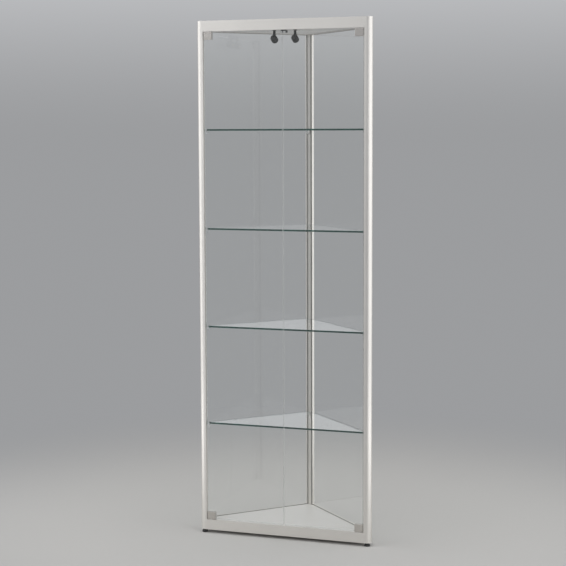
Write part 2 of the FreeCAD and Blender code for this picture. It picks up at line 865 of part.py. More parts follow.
def build_frame():
    """Posts, rails, keys, panels and the glazing."""
    keys = frame_keys()
    clips = [front_clip(z) for z in shelf_bottoms()]
    back_clips = [back_clip(z, back_post_blank()) for z in shelf_bottoms()]
    save_pair("front_{}_post", front_post().cut(keys + clips))
    save("back_post", back_post().cut(keys + back_clips))
    save("shelf_clips", *both_sides(clips), *back_clips)
    save("shelf_pads", *both_sides([front_pad(z) for z in shelf_bottoms()]),
         *[back_pad(z) for z in shelf_bottoms()])

    openings = key_channels() + key_screw_holes() + bush_holes()
    top_ledges = [top_rail_bottom, cover_bottom - ledge_thickness]
    bottom_ledges = [floor_bottom - ledge_thickness]
    save("top_front_rail", front_rail(top_rail_bottom, top_ledges).cut(openings))
    save("bottom_front_rail", front_rail(frame_bottom, bottom_ledges).cut(openings))
    save_pair("top_{}_rail", side_rail(top_rail_bottom, top_rail_bottom, top_ledges).cut(openings))
    save_pair("bottom_{}_rail",
              side_rail(frame_bottom, bottom_rail_top - groove_depth, bottom_ledges).cut(openings))
    save("frame_keys", *keys)
    save("key_screws", *key_screws())
    save("door_bushes", *door_bushes())

    neck = rod(spot_thread_diameter, spot_axis(ceiling_bottom), spot_axis(ceiling_top))
    gland = cable_gland()
    gland_hole = rod(gland_diameter, gland_point(cover_bottom), gland_point(overall_height))
    save("floor_panel", panel(floor_bottom, floor_thickness))
    save("ceiling_panel", panel(ceiling_bottom, ceiling_thickness).cut([neck, mirrored(neck)]))
    save("top_cover", panel(cover_bottom, cover_thickness).cut(gland_hole))
    save("cable_gland", gland)

    pane = side_pane()
    seal = glass_seal(pane)
    save_pair("{}_side_glass", pane)
    save("glass_seals", seal, mirrored(seal))
    for number, z in enumerate(shelf_bottoms(), 1):
        save(f"glass_shelf_{number}", glass_shelf(z))


def build_doors():
    """Both doors with their hinges and strikes."""
    save_pair("{}_door_glass", door_pane())
    save_pair("{}_hinge_bodies", *both_ends([hinge_body()]))
    save_pair("{}_hinge_pins", *both_ends([pivot_pin()]))
    save_pair("{}_hinge_pads", *both_ends(hinge_pads()))
    save_pair("{}_hinge_screws", *both_ends(clamp_screws()))
    save_pair("{}_strike_plate", strike_plate())


def build_latch():
    """Push latch."""
    save("latch_body", latch_body())
    save_pair("{}_latch_plunger", latch_plunger())
    save("latch_springs", *both_sides([latch_spring()]))


def build_lamps():
    """Spotlights and their supply."""
    save("spot_bases", *both_sides([spot_base()]))
    save("spot_nuts", *both_sides([spot_nut()]))
    save_pair("{}_spot_stem", spot_stem())
    save_pair("{}_spot_housing", spot_housing())
    save_pair("{}_spot_led", spot_led())
    save_pair("{}_spot_lens", spot_lens())
    save_pair("{}_spot_bezel", spot_bezel())
    save("lamp_driver", lamp_driver())
    save("lamp_leads", *both_sides([lamp_lead()]))


def build_feet():
    """Feet, their threaded plugs and the plugs at the top."""
    save_pair("front_{}_foot", foot(front_port))
    save("back_foot", foot(back_port))
    save("foot_bushes", *both_sides([foot_bush(front_port)]), foot_bush(back_port))
    save("post_plugs", *both_sides([post_plug(front_port)]), post_plug(back_port))


os.makedirs("parts", exist_ok=True)
build_frame()
build_doors()
build_latch()
build_lamps()
build_feet()
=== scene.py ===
"""Looks of a glazed corner cabinet, laid over its construction model.

Lengths are metres. X runs to the right, Y to the back and Z up. Depth is counted back from
the front face, and a point beside the right-hand glass is given by its distance out from
the middle and its distance along the glass. A shell is a closed surface, given by its points
and by blocks of faces, each block with the number of its finish.
"""

import json
import math

import bmesh
import bpy
import numpy as np
from bpy.props import FloatProperty, FloatVectorProperty, IntProperty, PointerProperty
from mathutils import Matrix, Vector
from mathutils.geometry import tessellate_polygon

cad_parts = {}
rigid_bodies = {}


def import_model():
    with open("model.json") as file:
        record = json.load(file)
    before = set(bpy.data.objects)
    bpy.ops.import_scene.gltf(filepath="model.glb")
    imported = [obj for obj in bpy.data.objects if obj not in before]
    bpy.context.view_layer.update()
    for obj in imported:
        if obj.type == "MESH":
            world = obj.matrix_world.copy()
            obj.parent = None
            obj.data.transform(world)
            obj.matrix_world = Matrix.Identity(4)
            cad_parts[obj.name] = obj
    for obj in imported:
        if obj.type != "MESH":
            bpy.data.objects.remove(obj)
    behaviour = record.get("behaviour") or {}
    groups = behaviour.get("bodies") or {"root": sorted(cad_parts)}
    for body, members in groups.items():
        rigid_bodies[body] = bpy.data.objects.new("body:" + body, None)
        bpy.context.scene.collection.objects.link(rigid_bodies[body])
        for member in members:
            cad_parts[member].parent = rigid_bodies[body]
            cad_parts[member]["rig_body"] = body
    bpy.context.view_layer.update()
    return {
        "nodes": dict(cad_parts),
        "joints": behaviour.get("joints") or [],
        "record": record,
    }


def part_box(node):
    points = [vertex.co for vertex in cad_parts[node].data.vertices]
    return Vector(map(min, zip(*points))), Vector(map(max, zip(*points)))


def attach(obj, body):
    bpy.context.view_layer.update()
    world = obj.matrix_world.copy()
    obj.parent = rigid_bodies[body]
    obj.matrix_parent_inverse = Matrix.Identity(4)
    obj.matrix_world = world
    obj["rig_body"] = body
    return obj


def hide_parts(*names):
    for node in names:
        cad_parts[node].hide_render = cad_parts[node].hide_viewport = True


bl_info = {
    "name": "Corner curio cabinet",
    "version": (1, 0, 0),
    "blender": (4, 5, 0),
    "location": "View3D > Sidebar > Cabinet",
    "description": "Dresses a glazed corner cabinet and sets it in a plain studio",
    "category": "Object",
}

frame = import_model()
nodes = frame["nodes"]
record_colours = {m["slot"]: m["base_color"][:3] for m in frame["record"]["materials"]}

SIDES = ("left", "right")

# Faces that meet at more than this angle have a sharp edge between them
SHARP_ANGLE = math.radians(35)

# Rounding of small moulded and turned pieces
SMALL_EDGE = 0.0003

# Points of a construction node that are nearer than this are one point
JOIN_DISTANCE = 1e-6

# Faces round a turned lamp piece, a foot, a spring wire and the floor
LAMP_STEPS = 96
FOOT_STEPS = 144
WIRE_STEPS = 12
FLOOR_STEPS = 96

# Faces over a round corner, a rounded edge and the light source
CORNER_STEPS = 8
EDGE_STEPS = 6
DOME_STEPS = 12

# Rows of points over the lens, along a turn of a spring and along a turn of a thread
LENS_ROWS = 64
SPRING_ROWS = 32
THREAD_ROWS = 8

# Radius of the flat middle of the lens, as a share of the distance between its rings
LENS_MIDDLE_SHARE = 1 / 8

# Width in millimetres of the film that the camera's focal length is for
FILM_WIDTH = 36.0

# Share of a length along either side of the corner that runs along X, and along Y
CORNER_SHARE = math.sqrt(0.5)

FRONT_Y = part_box("top_front_rail")[0].y
HALF_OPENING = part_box("top_front_rail")[1].x
POST_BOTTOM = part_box("back_post")[0].z
POST_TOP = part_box("back_post")[1].z
FRAME_MIDDLE = (POST_BOTTOM + POST_TOP) / 2


def length(name, description, default):
    """A length that a user may change."""
    return FloatProperty(name=name, description=description, default=default, min=0.0, unit="LENGTH")


def turn_angle(name, description, default):
    """An angle that a user may change."""
    return FloatProperty(name=name, description=description, default=default, subtype="ANGLE")


def amount(name, description, default):
    """A number without a unit that a user may change."""
    return FloatProperty(name=name, description=description, default=default)


def colour(name, description, default):
    """A colour that a user may change."""
    return FloatVectorProperty(name=name, description=description, default=default, size=3,
                               min=0.0, max=1.0, subtype="COLOR")


class FrameSizes(bpy.types.PropertyGroup):
    """Sizes of the aluminium profiles."""

    post_flat: length("Post flat", "Flat front of a post beside the doors", 0.0065)
    nose_radius: length("Nose radius", "Radius of the round front corner of a post", 0.019)
    side_width: length("Side width", "Width of the profiles that hold the side glass", 0.025)
    corner_radius: length("Corner radius", "Radius of the outer corner of the back post", 0.003)
    groove_width: length("Groove width", "Width of the grooves for the side glass", 0.008)
    groove_depth: length("Groove depth", "Depth of the grooves for the side glass", 0.0065)
    port_diameter: length("Port", "Diameter of the round port through each post", 0.0106)
    edge_radius: length("Edge radius", "Rounding of the profiles' sharp edges", 0.0005)
    nose_steps: IntProperty(name="Nose steps", description="Faces round a nose", default=40, min=4)


class GlassSizes(bpy.types.PropertyGroup):
    """Sizes of the panes and shelves."""

    pane_thickness: length("Pane", "Thickness of the side glass", 0.005)
    edge_gap: length("Edge gap", "Space between a pane's edge and the floor of its groove", 0.001)
    shelf_gap: length("Shelf gap", "Space between a shelf and the side glass", 0.0024)
    arris: length("Arris", "Width of the ground bevel along every glass edge", 0.0006)


class HingeSizes(bpy.types.PropertyGroup):
    """Sizes of the pivot hinges."""

    height: length("Height", "Height of a hinge plate over the glass", 0.025)
    front_plate: length("Front plate", "Thickness of the outer plate", 0.0025)
    back_plate: length("Back plate", "Thickness of the inner plate", 0.004)
    web: length("Web", "Thickness of the web over the edge of the glass", 0.0018)
    bevel: length("Bevel", "Width of the bright bevel round a plate", 0.0007)
    bevel_steps: IntProperty(name="Bevel steps", description="Faces over a bevel", default=3, min=1)


class LampSizes(bpy.types.PropertyGroup):
    """Sizes of the turned pieces in a lamp head. Distances along the head start below its pivot."""

    tilt: turn_angle("Tilt", "How far a head points down", math.radians(25))
    drop: length("Drop", "Distance of a head's axis below its pivot", 0.011)
    barrel: length("Barrel", "Distance along to the front of the housing", 0.013)
    recess: length("Recess", "Depth of the recess in the housing", 0.0045)
    recess_radius: length("Recess radius", "Radius of the board and the lens", 0.0102)
    board: length("Board", "Thickness of the lamp board", 0.0012)
    dome_radius: length("Dome radius", "Radius of the light source", 0.0035)
    dome_height: length("Dome height", "Height of the light source", 0.0009)
    lens: length("Lens", "Thickness of the lens at its rim", 0.002)
    bulge: length("Bulge", "How far the middle of the lens stands out", 0.0008)
    ripple: length("Ripple", "Height of the rings on the lens", 0.00012)
    ripple_pitch: length("Ripple pitch", "Distance between the rings on the lens", 0.0011)
    bezel_radius: length("Bezel radius", "Outer radius of the bezel", 0.012)
    bezel_opening: length("Bezel opening", "Radius of the opening in the bezel", 0.009)
    bezel_depth: length("Bezel depth", "How far the bezel stands in front of the housing", 0.002)
    bezel_roll: length("Bezel roll", "Radius of the bezel's rolled edge", 0.0008)
    # The board's light is a painted glow: emission that stands in for the lamp's light thrown back by the
    # board.
    painted_board_glow: amount("Board light", "Strength of the light that the board gives back", 0.6)
    dome_light: amount("Dome light", "Strength of the light source", 5.0)


class SupplySizes(bpy.types.PropertyGroup):
    """Sizes of the supply box in the roof."""

    corner: length("Corner", "Radius of the upright corners", 0.0024)
    edge: length("Edge", "Radius of the upper edges", 0.002)
    seam_height: length("Seam height", "Height of the lid's seam over the bottom", 0.011)
    seam_width: length("Seam width", "Width of the lid's seam", 0.0006)
    seam_depth: length("Seam depth", "Depth of the lid's seam", 0.0004)


class LatchSizes(bpy.types.PropertyGroup):
    """Sizes of the springs in the push latch."""

    wire: length("Wire", "Diameter of the spring wire", 0.0004)
    turns: IntProperty(name="Turns", description="Turns of each spring", default=12, min=1)


class FootSizes(bpy.types.PropertyGroup):
    """Sizes of the levelling feet."""

    pad_height: length("Pad height", "Height of the round pad", 0.007)
    pad_bevel: length("Pad bevel", "Width of the bevels on the pad", 0.001)
    rib_depth: length("Rib depth", "Depth of the grip ribs on the pad's rim", 0.0004)
    ribs: IntProperty(name="Ribs", description="Grip ribs round the pad", default=36, min=3)
    neck_width: length("Neck width", "Width over the flats of the six-sided neck", 0.013)
    neck_gap: length("Neck gap", "Space between the neck and the post", 0.0003)
    neck_bevel: length("Neck bevel", "Bevel at the ends of the neck", 0.0004)
    stem_diameter: length("Stem diameter", "Outer diameter of the thread", 0.008)
    thread_pitch: length("Thread pitch", "Distance between turns of the thread", 0.00125)
    thread_depth: length("Thread depth", "Depth of the thread", 0.0006)


class Finishes(bpy.types.PropertyGroup):
    """Colours of the finishes, as the record gives them where it does."""

    aluminium: colour("Aluminium", "Satin anodised profiles", (0.8, 0.778, 0.742))
    panel: colour("Panel", "White laminate", (0.78, 0.762, 0.745))
    clip: colour("Clip", "Satin plated shelf clips", record_colours["bright_chrome"])
    plate: colour("Plate", "Satin plated hinges", (0.66, 0.63, 0.595))
    steel: colour("Steel", "Zinc plated pins and screws", record_colours["plain_steel"])
    nylon: colour("Nylon", "Bushes and plugs", record_colours["grey_nylon"])
    moulding: colour("Moulding", "Black moulded feet and latch", record_colours["black_plastic"])
    powder: colour("Powder", "Black powder coat of the spotlights", record_colours["black_paint"])
    housing: colour("Housing", "White moulded supply box", record_colours["white_plastic"])
    seal: colour("Seal", "Grey extruded seal", (0.3, 0.29, 0.275))
    pad: colour("Pad", "Translucent pads", record_colours["clear_pad"])
    glass: colour("Glass", "Tint of a pane seen through its faces", (0.984, 0.99, 0.986))
    # The shelves' edge keeps the glass's green but is darkened to near black: painted shade standing in for
    # dark surroundings seen in the edge.
    shelf_edge_painted_shade: colour("Shelf edge", "Ground edge of the shelves", (0.022, 0.105, 0.085))
    door_edge: colour("Door edge", "Ground edge of the doors and side glass", (0.88, 0.94, 0.91))
    lens_dark: colour("Lens dark", "Darker tone of the lamp lens", (0.95, 0.95, 0.93))
    lens_light: colour("Lens light", "Lighter tone of the lamp lens", (0.99, 0.99, 0.98))
    phosphor_dark: colour("Phosphor dark", "Darker tone of the lamp board", (0.85, 0.74, 0.4))
    phosphor_light: colour("Phosphor light", "Lighter tone of the lamp board", (0.95, 0.86, 0.55))
    lamp: colour("Lamp", "Light of the spotlights", (1.0, 0.86, 0.66))


class StageSettings(bpy.types.PropertyGroup):
    """Camera, floor and backdrop."""

    camera_place: FloatVectorProperty(name="Camera", description="Place of the camera", size=3,
                                      default=(1.5564, -4.90264, 1.46053), subtype="TRANSLATION")
    camera_yaw: turn_angle("Yaw", "Turn of the camera to the left of the depth axis", 0.31773)
    camera_pitch: turn_angle("Pitch", "Downward tilt of the camera", 0.09583)
    camera_roll: turn_angle("Roll", "Roll of the camera", -0.0036)
    lens: FloatProperty(name="Lens", description="Focal length in millimetres", default=90.67,
                        unit="CAMERA")
    shift: amount("Shift", "Upward shift of the picture, as a share of it", -0.03)
    floor: colour("Floor", "Pale studio floor", (0.64, 0.634, 0.622))
    floor_radius: length("Floor radius", "Radius of the floor", 9.0)
    fade_start: length("Fade start", "Distance at which the floor starts to fade", 0.7)
    fade_end: length("Fade end", "Distance at which the floor has faded", 2.3)
    backdrop: colour("Backdrop", "Pale studio backdrop at floor level", (0.33, 0.335, 0.345))
    backdrop_rise: amount("Backdrop rise", "How many times lighter the backdrop is overhead", 2.0)
    rise_start: amount("Rise start", "Sine of the upward angle where the backdrop starts to lighten", -0.01)
    rise_end: amount("Rise end", "Sine of the upward angle where the backdrop is lightest", 0.2)
    ambient: amount("Ambient", "Strength of the light from all round", 0.36)


def on_side(out, along):
    """Plan point at a distance out and along the right-hand glass: x is their difference and
    depth their sum, both times the corner share."""
    out, along = np.broadcast_arrays(np.asarray(out, float), np.asarray(along, float))
    return np.stack([(out - along) * CORNER_SHARE, (out + along) * CORNER_SHARE], -1)


def side_places(sizes):
    """Distances out and along that the profiles follow. The outer face touches the nose's circle,
    the inner face lies a side's width inside it, and the glass is halfway. A post ends level with
    the point where the inner face meets the side of the opening."""
    nose_x = HALF_OPENING + sizes.post_flat
    outer = (nose_x + sizes.nose_radius) * CORNER_SHARE + sizes.nose_radius
    inner = outer - sizes.side_width
    reveal = inner / CORNER_SHARE - HALF_OPENING
    return {
        "nose_x": nose_x,
        "outer": outer,
        "inner": inner,
        "glass": outer - sizes.side_width / 2,
        "post_face": (reveal - HALF_OPENING) * CORNER_SHARE,
    }


def arc(centre, radius, start, end, steps):
    """Points on a circle in the plan: centre plus radius times the cosine and sine of the angle."""
    angle = np.linspace(start, end, steps + 1)
    return np.asarray(centre) + radius * np.stack([np.cos(angle), np.sin(angle)], -1)


def inset(corners, distance):
    """Convex outline with each side moved inwards. Each corner moves by the sum of its two
    inward normals over one plus their product, which is where the moved sides meet."""
    ahead = np.roll(corners, -1, 0) - corners
    ahead = ahead / np.linalg.norm(ahead, axis=1, keepdims=True)
    inward = np.stack([-ahead[:, 1], ahead[:, 0]], -1)
    before = np.roll(inward, 1, 0)
    meeting = 1 + (inward * before).sum(1, keepdims=True)
    return corners + distance * (inward + before) / meeting


def ring_faces(rings, count):
    """Quads between neighbouring rings of as many points, each ring closed on itself."""
    first = np.arange(rings - 1)[:, None] * count
    here = np.arange(count)
    ahead = np.roll(here, -1)
    quads = [first + here, first + ahead, first + ahead + count, first + here + count]
    return np.stack(quads, -1).reshape(-1, 4)


def closed(rings):
    """Shell through rings of as many points, with a flat face at each end."""
    first = np.arange(len(rings[0]))
    last = first + (len(rings) - 1) * len(first)
    sides = ring_faces(len(rings), len(first))
    return np.concatenate(rings), [(sides, 0), (np.stack([first[::-1], last]), 0)]


def extruded(loops, place, start, end):
    """Profile carried along a straight path. Loops are plan outlines, the first the outer one,
    and place(u, v, w) gives the points at w = start and w = end. Each end is one face, or is
    filled between the loops where there are more."""
    points, sides, rims, offset = [], [], [], 0
    for loop in loops:
        count = len(loop)
        points += [place(loop[:, 0], loop[:, 1], np.full(count, w)) for w in (start, end)]
        sides.append((ring_faces(2, count) + offset, 0))
        rims.append(np.arange(count) + offset)
        offset += 2 * count
    near = np.concatenate(rims)
    far = np.concatenate([rim + len(rim) for rim in rims])
    flat = [np.column_stack([loop, np.zeros(len(loop))]).tolist() for loop in loops]
    ends = np.array(tessellate_polygon(flat)) if len(loops) > 1 else np.arange(len(near))[None]
    return np.concatenate(points), [*sides, (near[ends], 0), (far[ends[:, ::-1]], 0)]


def slab(corners, place, thickness, arris):
    """Plate of a convex outline with ground edges: four rings, moved in by the arris at both
    faces. The faces take finish 0 and the edges finish 1."""
    rings = [(arris, 0.0), (0.0, arris), (0.0, thickness - arris), (arris, thickness)]
    outlines = [(inset(corners, distance), w) for distance, w in rings]
    points, blocks = closed([place(o[:, 0], o[:, 1], np.full(len(o), w)) for o, w in outlines])
    (edges, _), (flats, _) = blocks
    return points, [(edges, 1), (flats, 0)]


def turned(radius, along, ring=False):
    """Surface round an axis: row i at angle a is (radius cos a, radius sin a, along), where the
    radius may change with the angle. A ring's last row joins its first, and any other shape has
    a flat disc at each end, about a point on the axis."""
    rows, steps = radius.shape
    angle = np.arange(steps) * 2 * math.pi / steps
    along = np.broadcast_to(along[:, None], radius.shape)
    grid = np.stack([radius * np.cos(angle), radius * np.sin(angle), along], -1).reshape(-1, 3)
    here = np.arange(steps)
    ahead, last = np.roll(here, -1), (rows - 1) * steps
    sides = ring_faces(rows, steps)
    if ring:
        return grid, [(sides, 0), (np.stack([last + here, last + ahead, ahead, here], -1), 0)]
    poles = [(0.0, 0.0, along[0, 0]), (0.0, 0.0, along[-1, 0])]
    pole = np.full(steps, len(grid))
    first_disc = np.stack([pole, ahead, here], -1)
    last_disc = np.stack([pole + 1, last + here, last + ahead], -1)
    return np.concatenate([grid, poles]), [(sides, 0), (first_disc, 0), (last_disc, 0)]


def lathe(profile, ring=False):
    """Round lamp piece from its profile of radii and distances along its axis."""
    profile = np.asarray(profile, float)
    return turned(np.repeat(profile[:, :1], LAMP_STEPS, 1), profile[:, 1], ring)


def tube(middle, outward, sideways, radius):
    """Round wire along a path: each middle point plus the radius times the outward direction's
    cosine and the sideways direction's sine."""
    angle = np.arange(WIRE_STEPS)[:, None] * 2 * math.pi / WIRE_STEPS
    circle = outward[:, None] * np.cos(angle) + sideways[:, None] * np.sin(angle)
    return closed(middle[:, None] + radius * circle)


def upright(x, depth, z):
    """Points of a plan outline at height z, the depth counted back from the front face."""
    return np.stack([x, FRONT_Y + depth, z], -1)


def mirrored(shell):
    """Shell on the other side of the middle plane, with the sign of x changed."""
    points, blocks = shell
    return points * (-1, 1, 1), blocks


def flipped(shell):
    """Shell at the other end of the posts: twice the frame's middle height less z."""
    points, blocks = shell
    return points * (1, 1, -1) + (0, 0, 2 * FRAME_MIDDLE), blocks


def new_object(name, data):
    """Object in the scene, at the origin."""
    made = bpy.data.objects.new(name, data)
    bpy.context.scene.collection.objects.link(made)
    return made


def piece(name, shells, finishes, stands_for):
    """Object made of closed shells, riding on the body of the node that it stands for."""
    points, faces, slots, offset = [], [], [], 0
    for shell_points, blocks in shells:
        for block, number in blocks:
            faces += (block + offset).tolist()
            slots += [number] * len(block)
        points.append(shell_points)
        offset += len(shell_points)
    mesh = bpy.data.meshes.new(name)
    mesh.from_pydata(np.concatenate(points).tolist(), [], faces)
    mesh.polygons.foreach_set("material_index", slots)
    for finish in finishes:
        mesh.materials.append(finish)
    shape = bmesh.new()
    shape.from_mesh(mesh)
    bmesh.ops.recalc_face_normals(shape, faces=shape.faces)
    shape.to_mesh(mesh)
    shape.free()
    mesh.shade_smooth()
    mesh.set_sharp_from_angle(angle=SHARP_ANGLE)
    made = new_object(name, mesh)
    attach(made, nodes[stands_for]["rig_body"])
    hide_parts(stands_for)
    return made


def round_edges(shown, radius, steps=2):
    """Rounds the sharp edges of a piece and shades its flats flat."""
    made = shown.modifiers.new("edges", "BEVEL")
    made.width = radius
    made.segments = steps
    made.limit_method = "ANGLE"
    made.angle_limit = SHARP_ANGLE
    made.harden_normals = True


def soften(names, radius):
    """Joins the triangles of construction nodes and rounds their sharp edges."""
    for name in names:
        joined = nodes[name].modifiers.new("joined", "WELD")
        joined.merge_threshold = JOIN_DISTANCE
        round_edges(nodes[name], radius)


def paint(finish, *names):
    """Gives a finish to construction nodes that keep their own shape."""
    for name in names:
        nodes[name].material_slots[0].material = finish


def add(tree, kind, inputs=None, **settings):
    """Adds a node with its settings, and sets or links its inputs."""
    made = tree.nodes.new("ShaderNode" + kind)
    for key, value in settings.items():
        setattr(made, key, value)
    for key, value in (inputs or {}).items():
        if isinstance(value, bpy.types.NodeSocket):
            tree.links.new(value, made.inputs[key])
        else:
            made.inputs[key].default_value = value
    return made


def new_material(name):
    """Material with an empty tree; gives it and the tree."""
    made = bpy.data.materials.new(name)
    made.use_nodes = True
    made.node_tree.nodes.clear()
    return made, made.node_tree


def pattern(tree, scale, detail=4.0, turn=(0.0, 0.0, 0.0), stretch=(1.0, 1.0, 1.0)):
    """Cloudy value from 0 to 1 over the object's own coordinates, turned and stretched."""
    place = add(tree, "TexCoord").outputs["Object"]
    laid = add(tree, "Mapping", {"Vector": place, "Rotation": turn}, vector_type="TEXTURE")
    drawn = add(tree, "Mapping", {"Vector": laid.outputs[0], "Scale": stretch})
    return add(tree, "TexNoise", {"Vector": drawn.outputs[0], "Scale": scale, "Detail": detail}).outputs[0]


def between(tree, value, low, high):
    """Middle half of a cloudy value spread over a range."""
    return add(tree, "MapRange", {0: value, 1: 0.25, 2: 0.75, 3: low, 4: high}).outputs[0]


def blend(tree, value, one, other):
    """Colour between two, by a value."""
    made = add(tree, "Mix", {0: value, 6: (*one, 1.0), 7: (*other, 1.0)}, data_type="RGBA")
    return made.outputs[2]


def relief(tree, value, distance, strength):
    """Normal of a surface raised by a value."""
    return add(tree, "Bump", {"Height": value, "Distance": distance, "Strength": strength}).outputs[0]


def scaled(tint, times):
    """Colour made lighter or darker, kept within 0 and 1."""
    return tuple(min(1.0, c * times) for c in tint)


def shades(tint, low, high):
    """A darker and a lighter tone of a colour."""
    return scaled(tint, low), scaled(tint, high)


def let_light_through(tree, shader, tint):
    """Shader that lamps shine through, so that it throws no solid shadow."""
    path = add(tree, "LightPath")
    clear = add(tree, "BsdfTransparent", {"Color": (*tint, 1.0)})
    passing = add(tree, "Math", {0: path.outputs["Is Shadow Ray"], 1: path.outputs["Is Diffuse Ray"]},
                  operation="MAXIMUM")
    return add(tree, "MixShader", {0: passing.outputs[0], 1: shader, 2: clear.outputs[0]}).outputs[0]


def surface(name, patterns, base, rough=None, bump=None, sockets=None, through=None):
    """Material that follows cloudy patterns. base, rough and bump each name a pattern and give
    two colours, two roughnesses, or the height and strength of a relief. Sockets hold what is
    the same all over, and lamps shine through a material that has a through colour."""
    made, tree = new_material(name)
    drawn = {key: pattern(tree, **settings) for key, settings in patterns.items()}
    inputs = {"Base Color": blend(tree, drawn[base[0]], *base[1:]), **(sockets or {})}
    if rough:
        inputs["Roughness"] = between(tree, drawn[rough[0]], *rough[1:])
    if bump:
        inputs["Normal"] = relief(tree, drawn[bump[0]], *bump[1:])
    shader = add(tree, "BsdfPrincipled", inputs).outputs[0]
    if through is not None:
        shader = let_light_through(tree, shader, through)
    add(tree, "OutputMaterial", {"Surface": shader})
    return made


def aluminium(name, tint, turn):
    """Satin anodised aluminium: fine lines drawn along the profile and faint clouding."""
    lines = {"scale": 60.0, "detail": 3.0, "turn": turn, "stretch": (0.02, 24.0, 24.0)}
    return surface(name, {"lines": lines, "clouds": {"scale": 9.0}},
                   base=("clouds", *shades(tint, 0.96, 1.04)), rough=("lines", 0.36, 0.48),
                   bump=("lines", 0.00004, 0.25), sockets={"Metallic": 1.0})


def plated(name, tint, rough):
    """Satin plated metal with faint smears."""
    return surface(name, {"smears": {"scale": 60.0, "detail": 3.0}},
                   base=("smears", *shades(tint, 0.97, 1.0)), rough=("smears", *rough),
                   sockets={"Metallic": 1.0})


def steel(name, tint):
    """Zinc plated steel: a dull crystalline bloom."""
    return surface(name, {"bloom": {"scale": 420.0, "detail": 6.0}},
                   base=("bloom", *shades(tint, 0.86, 1.08)), rough=("bloom", 0.28, 0.46),
                   bump=("bloom", 0.00005, 0.3), sockets={"Metallic": 1.0})


def coated(name, tint, grain, rough, depth, variation=0.12):
    """Plastic, paint or laminate: a fine moulded grain with small changes of tone."""
    return surface(name, {"grain": {"scale": grain, "detail": 3.0}, "clouds": {"scale": 14.0}},
                   base=("clouds", *shades(tint, 1 - variation, 1 + variation)),
                   rough=("grain", *rough), bump=("grain", depth, 0.4))


def translucent_pad(name, tint):
    """Soft clear pad, part see-through."""
    return surface(name, {"clouds": {"scale": 300.0}}, base=("clouds", *shades(tint, 0.93, 1.05)),
                   rough=("clouds", 0.3, 0.45), sockets={"Transmission Weight": 0.5, "IOR": 1.41})


def glass(name, tint):
    """Float glass: clear faces with a hardly seen waviness and a thin film of dust."""
    return surface(name, {"waves": {"scale": 2.5, "detail": 1.0}, "film": {"scale": 30.0, "detail": 6.0}},
                   base=("film", *shades(tint, 0.99, 1.01)), bump=("waves", 0.0004, 0.2),
                   sockets={"Roughness": 0.0, "IOR": 1.5, "Transmission Weight": 1.0}, through=tint)


def glass_edge(name, tint):
    """Ground and polished glass edge, tinted by the length of glass behind it. The shelves' darker tint
    adds painted shade to this.
    """
    return surface(name, {"ground": {"scale": 90.0, "detail": 5.0, "stretch": (1.0, 1.0, 4.0)}},
                   base=("ground", *shades(tint, 0.8, 1.3)), rough=("ground", 0.1, 0.22),
                   bump=("ground", 0.00005, 0.3), sockets={"IOR": 1.5, "Transmission Weight": 0.55},
                   through=scaled(tint, 2.0))


def lamp_lens(name, dark, light):
    """Clear moulded lens, a little uneven."""
    return surface(name, {"ripple": {"scale": 900.0, "detail": 1.0}}, base=("ripple", dark, light),
                   rough=("ripple", 0.04, 0.12), sockets={"IOR": 1.49, "Transmission Weight": 1.0},
                   through=dark)


def lit_phosphor(name, dark, light, lamp, strength):
    """Lit board or dome: warm light from yellow phosphor, a little uneven. The dome is the lamp itself; the
    board's glow is painted light, standing in for lamp light thrown back by the board.
    """
    return surface(name, {"speckle": {"scale": 800.0}}, base=("speckle", dark, light),
                   rough=("speckle", 0.4, 0.6),
                   sockets={"Emission Color": (*lamp, 1.0), "Emission Strength": strength})


class CABINET_OT_posts(bpy.types.Operator):
    """Make the three posts from their profiles"""

    bl_idname = "cabinet.posts"
    bl_label = "Posts"

    def execute(self, context):
        sizes = context.scene.cabinet_frame
        finish = aluminium("satin_posts", context.scene.cabinet_finishes.aluminium, (0.0, math.pi / 2, 0.0))
        front = extruded(front_post_loops(sizes), upright, POST_BOTTOM, POST_TOP)
        back = extruded(back_post_loops(sizes), upright, POST_BOTTOM, POST_TOP)
        made = [
            piece("front_left_post_profile", [mirrored(front)], [finish], "front_left_post"),
            piece("front_right_post_profile", [front], [finish], "front_right_post"),
            piece("back_post_profile", [back], [finish], "back_post"),
        ]
        for post in made:
            round_edges(post, sizes.edge_radius)
        return {"FINISHED"}


def port_loop(sizes, foot):
    """Round port, a circle about a foot's middle, run the other way round from the outline that
    it is cut in."""
    low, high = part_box(foot)
    centre = ((low.x + high.x) / 2, (low.y + high.y) / 2 - FRONT_Y)
    return arc(centre, sizes.port_diameter / 2, 2 * math.pi, 0.0, sizes.nose_steps)[:-1]


def front_post_loops(sizes):
    """Right front post in plan: flat front, nose arc, end face with the glass groove, reveal."""
    side = side_places(sizes)
    face, deep = side["post_face"], side["post_face"] - sizes.groove_depth
    near, far = side["glass"] - sizes.groove_width / 2, side["glass"] + sizes.groove_width / 2
    nose = arc((side["nose_x"], sizes.nose_radius), sizes.nose_radius, -math.pi / 2, math.pi / 4,
               sizes.nose_steps)
    end = on_side([side["outer"], far, far, near, near, side["inner"]],
                  [face, face, deep, deep, face, face])
    return [np.concatenate([[(HALF_OPENING, 0.0)], nose, end]), port_loop(sizes, "front_right_foot")]


def back_post_loops(sizes):
    """Back post in plan: a square with a groove for each pane and a rounded outer corner."""
    side = side_places(sizes)
    inner, outer = side["inner"], side["outer"]
    deep = inner + sizes.groove_depth
    near, far = side["glass"] - sizes.groove_width / 2, side["glass"] + sizes.groove_width / 2
    right = on_side([inner, near, near, far, far, outer], [inner, inner, deep, deep, inner, inner])
    centre = on_side(outer - sizes.corner_radius, outer - sizes.corner_radius)
    corner = arc(centre, sizes.corner_radius, math.pi / 4, 3 * math.pi / 4, sizes.nose_steps // 4)
    left = (right * (-1, 1))[:0:-1]
    return [np.concatenate([right, corner, left]), port_loop(sizes, "back_foot")]


